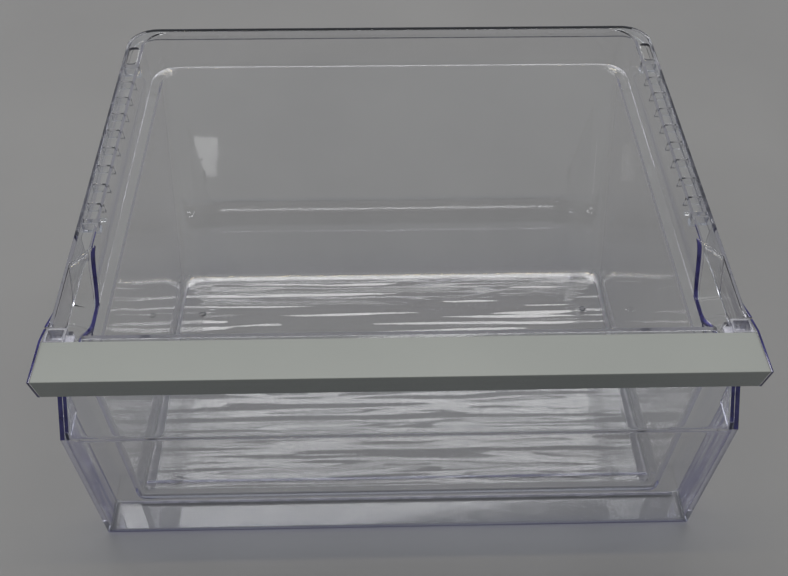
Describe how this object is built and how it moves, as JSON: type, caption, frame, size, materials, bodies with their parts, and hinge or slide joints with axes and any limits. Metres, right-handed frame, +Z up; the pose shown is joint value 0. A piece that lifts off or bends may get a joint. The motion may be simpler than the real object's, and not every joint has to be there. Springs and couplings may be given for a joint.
{
  "type": "crisper drawer",
  "caption": "Clear refrigerator crisper drawer: deep tub with a slanted back, clear front cover, overhanging handle hood with a trim strip and a finger recess under it.",
  "frame": {"origin": "on the table under the middle of the drawer's outer box", "axes": "+X to the right seen from the front, +Y from the front cover towards the back rim, +Z up"},
  "size_m": [0.4332, 0.359, 0.1819],
  "materials": {
    "clear_plastic": "clear polystyrene, polished, faintly violet at its cut edges",
    "grey_trim": "satin light grey"
  },
  "bodies": {
    "root": {"tub": "clear_plastic", "front_cover": "clear_plastic", "handle_hood": "clear_plastic", "left_corner_block": "clear_plastic", "right_corner_block": "clear_plastic", "handle_trim": "grey_trim"}
  },
  "joints": []
}
